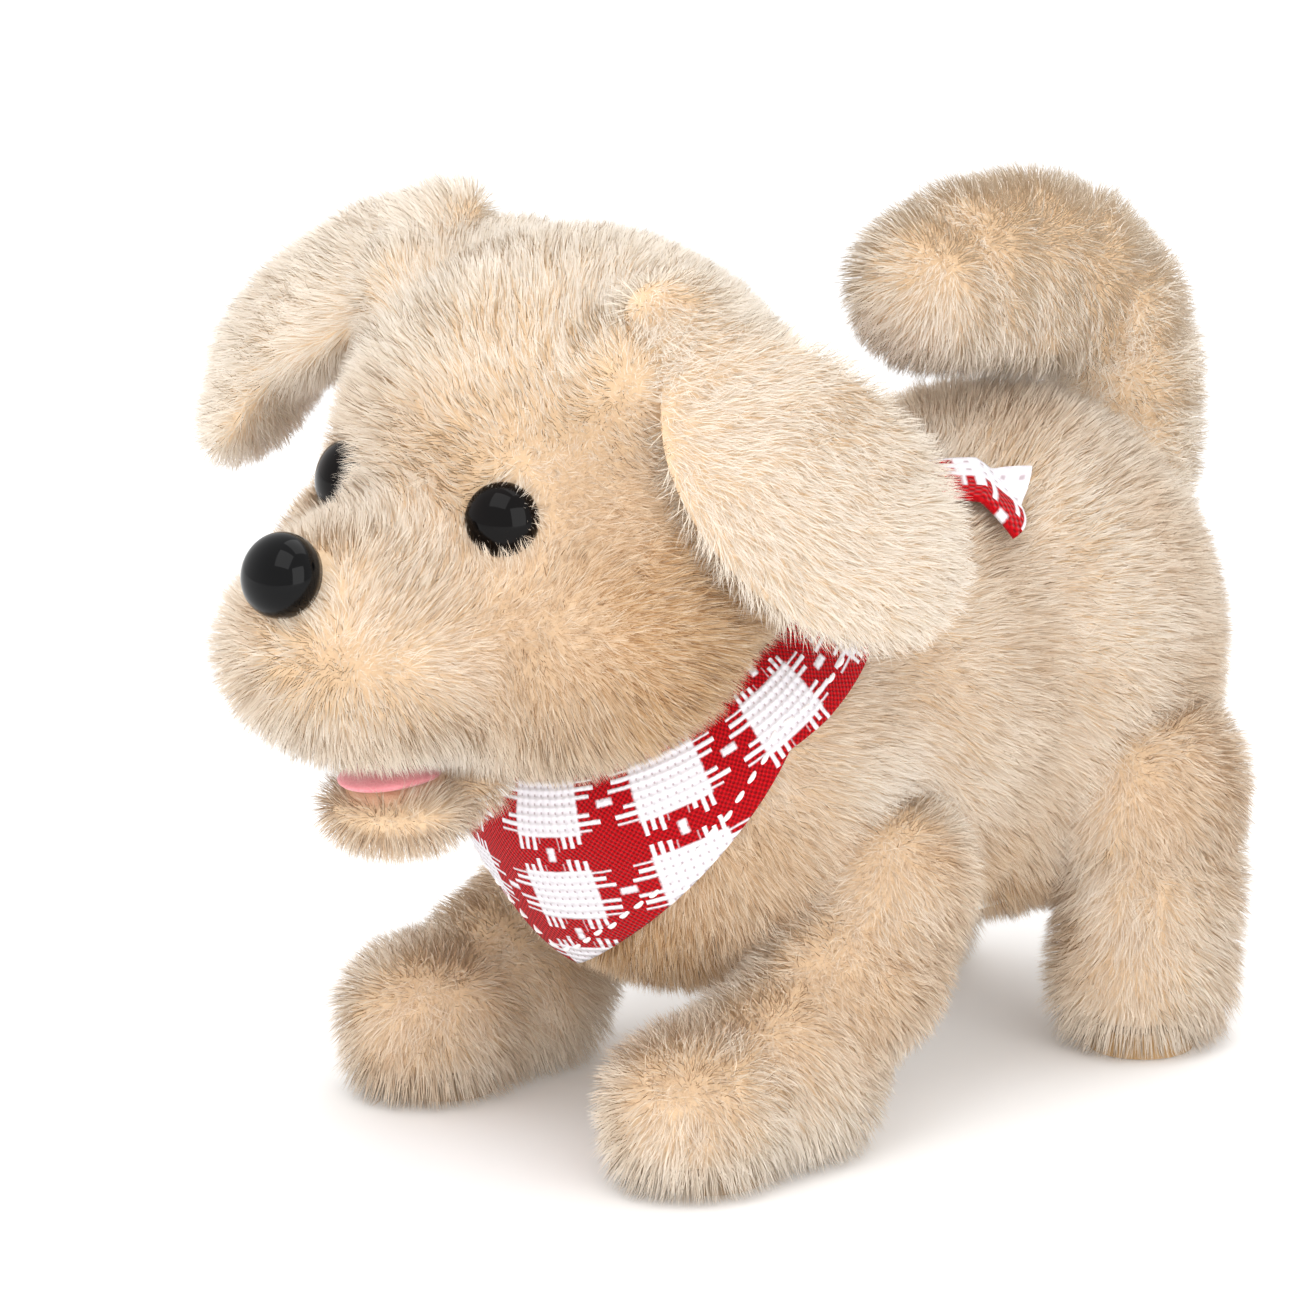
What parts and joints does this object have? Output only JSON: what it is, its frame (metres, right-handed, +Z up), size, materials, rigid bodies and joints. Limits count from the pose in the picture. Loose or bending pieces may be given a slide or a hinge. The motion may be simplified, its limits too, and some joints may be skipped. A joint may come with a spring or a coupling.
{
  "type": "interactive plush pet",
  "caption": "Walking plush puppy with swinging legs, wagging tail, opening jaw and a checked bandana, round a battery-driven plastic chassis.",
  "frame": {"origin": "on the floor, below the middle of the object's bounding box", "axes": "the puppy faces -Y, its left side is +X, +Z is up; the body's own middle plane is at X = 13.5 mm, because the right ear flares out sideways"},
  "size_m": [0.1642, 0.2494, 0.1842],
  "materials": {
    "plush_fur": "cream and golden plush with a dense short pile",
    "checked_cotton": "coarse woven red and white check",
    "tongue_fabric": "short-pile pink felt",
    "eye_gloss": "polished dark brown to black",
    "nose_gloss": "polished black",
    "steel": "plain drawn steel",
    "brass": "plain machined brass",
    "green_board": "green solder mask",
    "cell_wrap": "plain dark wrapped cell",
    "sole_rubber": "tan rubber with fine grip",
    "grey_plastic": "fine moulded grain",
    "white_plastic": "natural moulded plastic"
  },
  "bodies": {
    "torso": {"body_plush": "plush_fur", "head_plush": "plush_fur", "ear_left": "plush_fur", "ear_right": "plush_fur", "bandana": "checked_cotton", "bandana_knot": "checked_cotton", "nose": "nose_gloss", "eye_left": "eye_gloss", "eye_right": "eye_gloss", "eye_left_washer": "white_plastic", "eye_right_washer": "white_plastic", "head_frame": "white_plastic", "neck_post": "white_plastic", "chassis_left": "white_plastic", "chassis_right": "white_plastic", "chassis_screw_1": "steel", "chassis_screw_2": "steel", "chassis_screw_3": "steel", "battery_box": "white_plastic", "battery_door": "white_plastic", "battery_door_screw": "steel", "battery_left": "cell_wrap", "battery_right": "cell_wrap", "battery_contact": "steel", "circuit_board": "green_board", "speaker": "grey_plastic", "motor": "steel", "switch_body": "grey_plastic", "hip_axle_front": "steel", "hip_axle_rear": "steel", "tail_bracket": "white_plastic", "tail_pin": "steel", "jaw_pin": "steel", "gear_pin_1": "steel", "gear_pin_2": "steel"},
    "jaw": {"jaw_plush": "plush_fur", "jaw_frame": "white_plastic", "tongue": "tongue_fabric"},
    "tail": {"tail_plush": "plush_fur", "tail_rod": "white_plastic"},
    "switch_slider": {"power_switch": "grey_plastic"},
    "pinion": {"motor_pinion": "brass"},
    "first_gear": {"gear_1": "white_plastic"},
    "second_gear": {"gear_2": "white_plastic"},
    "crank": {"crank_shaft": "steel", "crank_gear": "white_plastic", "crank_left": "white_plastic", "crank_right": "white_plastic"},
    "front_left_leg": {"leg_front_left_plush": "plush_fur", "leg_front_left_frame": "white_plastic", "leg_front_left_pad": "sole_rubber"},
    "front_right_leg": {"leg_front_right_plush": "plush_fur", "leg_front_right_frame": "white_plastic", "leg_front_right_pad": "sole_rubber"},
    "rear_left_leg": {"leg_rear_left_plush": "plush_fur", "leg_rear_left_frame": "white_plastic", "leg_rear_left_pad": "sole_rubber"},
    "rear_right_leg": {"leg_rear_right_plush": "plush_fur", "leg_rear_right_frame": "white_plastic", "leg_rear_right_pad": "sole_rubber"}
  },
  "joints": [
    {"name": "jaw_open", "type": "hinge", "parent": "torso", "child": "jaw", "pos_m": [0.0135, -0.0674, 0.086], "axis": [1, 0, 0], "range_deg": [-4, 10]},
    {"name": "tail_wag", "type": "hinge", "parent": "torso", "child": "tail", "pos_m": [0.0135, 0.1096, 0.105], "axis": [0, 0, 1], "range_deg": [-20, 20]},
    {"name": "rear_left_step", "type": "hinge", "parent": "torso", "child": "rear_left_leg", "pos_m": [0.0135, 0.0796, 0.052], "axis": [1, 0, 0], "range_deg": [-8, 8]},
    {"name": "rear_right_step", "type": "hinge", "parent": "torso", "child": "rear_right_leg", "pos_m": [0.0135, 0.0796, 0.052], "axis": [1, 0, 0], "range_deg": [-8, 8]},
    {"name": "front_left_step", "type": "hinge", "parent": "torso", "child": "front_left_leg", "pos_m": [0.0135, 0.0036, 0.052], "axis": [1, 0, 0], "range_deg": [-8, 8]},
    {"name": "front_right_step", "type": "hinge", "parent": "torso", "child": "front_right_leg", "pos_m": [0.0135, 0.0036, 0.052], "axis": [1, 0, 0], "range_deg": [-8, 8]},
    {"name": "power_slide", "type": "slide", "parent": "torso", "child": "switch_slider", "axis": [0, 1, 0], "range_m": [0, 0.003]},
    {"name": "crank_turn", "type": "hinge", "parent": "torso", "child": "crank", "pos_m": [0.0135, 0.0416, 0.059], "axis": [1, 0, 0], "continuous": true},
    {"name": "second_gear_turn", "type": "hinge", "parent": "torso", "child": "second_gear", "pos_m": [0.0135, 0.038, 0.07065], "axis": [1, 0, 0], "continuous": true},
    {"name": "first_gear_turn", "type": "hinge", "parent": "torso", "child": "first_gear", "pos_m": [0.0135, 0.0258, 0.071], "axis": [1, 0, 0], "continuous": true},
    {"name": "pinion_turn", "type": "hinge", "parent": "torso", "child": "pinion", "pos_m": [0.0135, 0.0136, 0.071], "axis": [1, 0, 0], "continuous": true}
  ],
  "couplings": [
    {"joint": "front_right_step", "follows": "rear_left_step", "ratio": 1},
    {"joint": "rear_right_step", "follows": "rear_left_step", "ratio": -1},
    {"joint": "front_left_step", "follows": "rear_left_step", "ratio": -1},
    {"joint": "second_gear_turn", "follows": "crank_turn", "ratio": -3},
    {"joint": "first_gear_turn", "follows": "crank_turn", "ratio": 9},
    {"joint": "pinion_turn", "follows": "crank_turn", "ratio": -27}
  ]
}
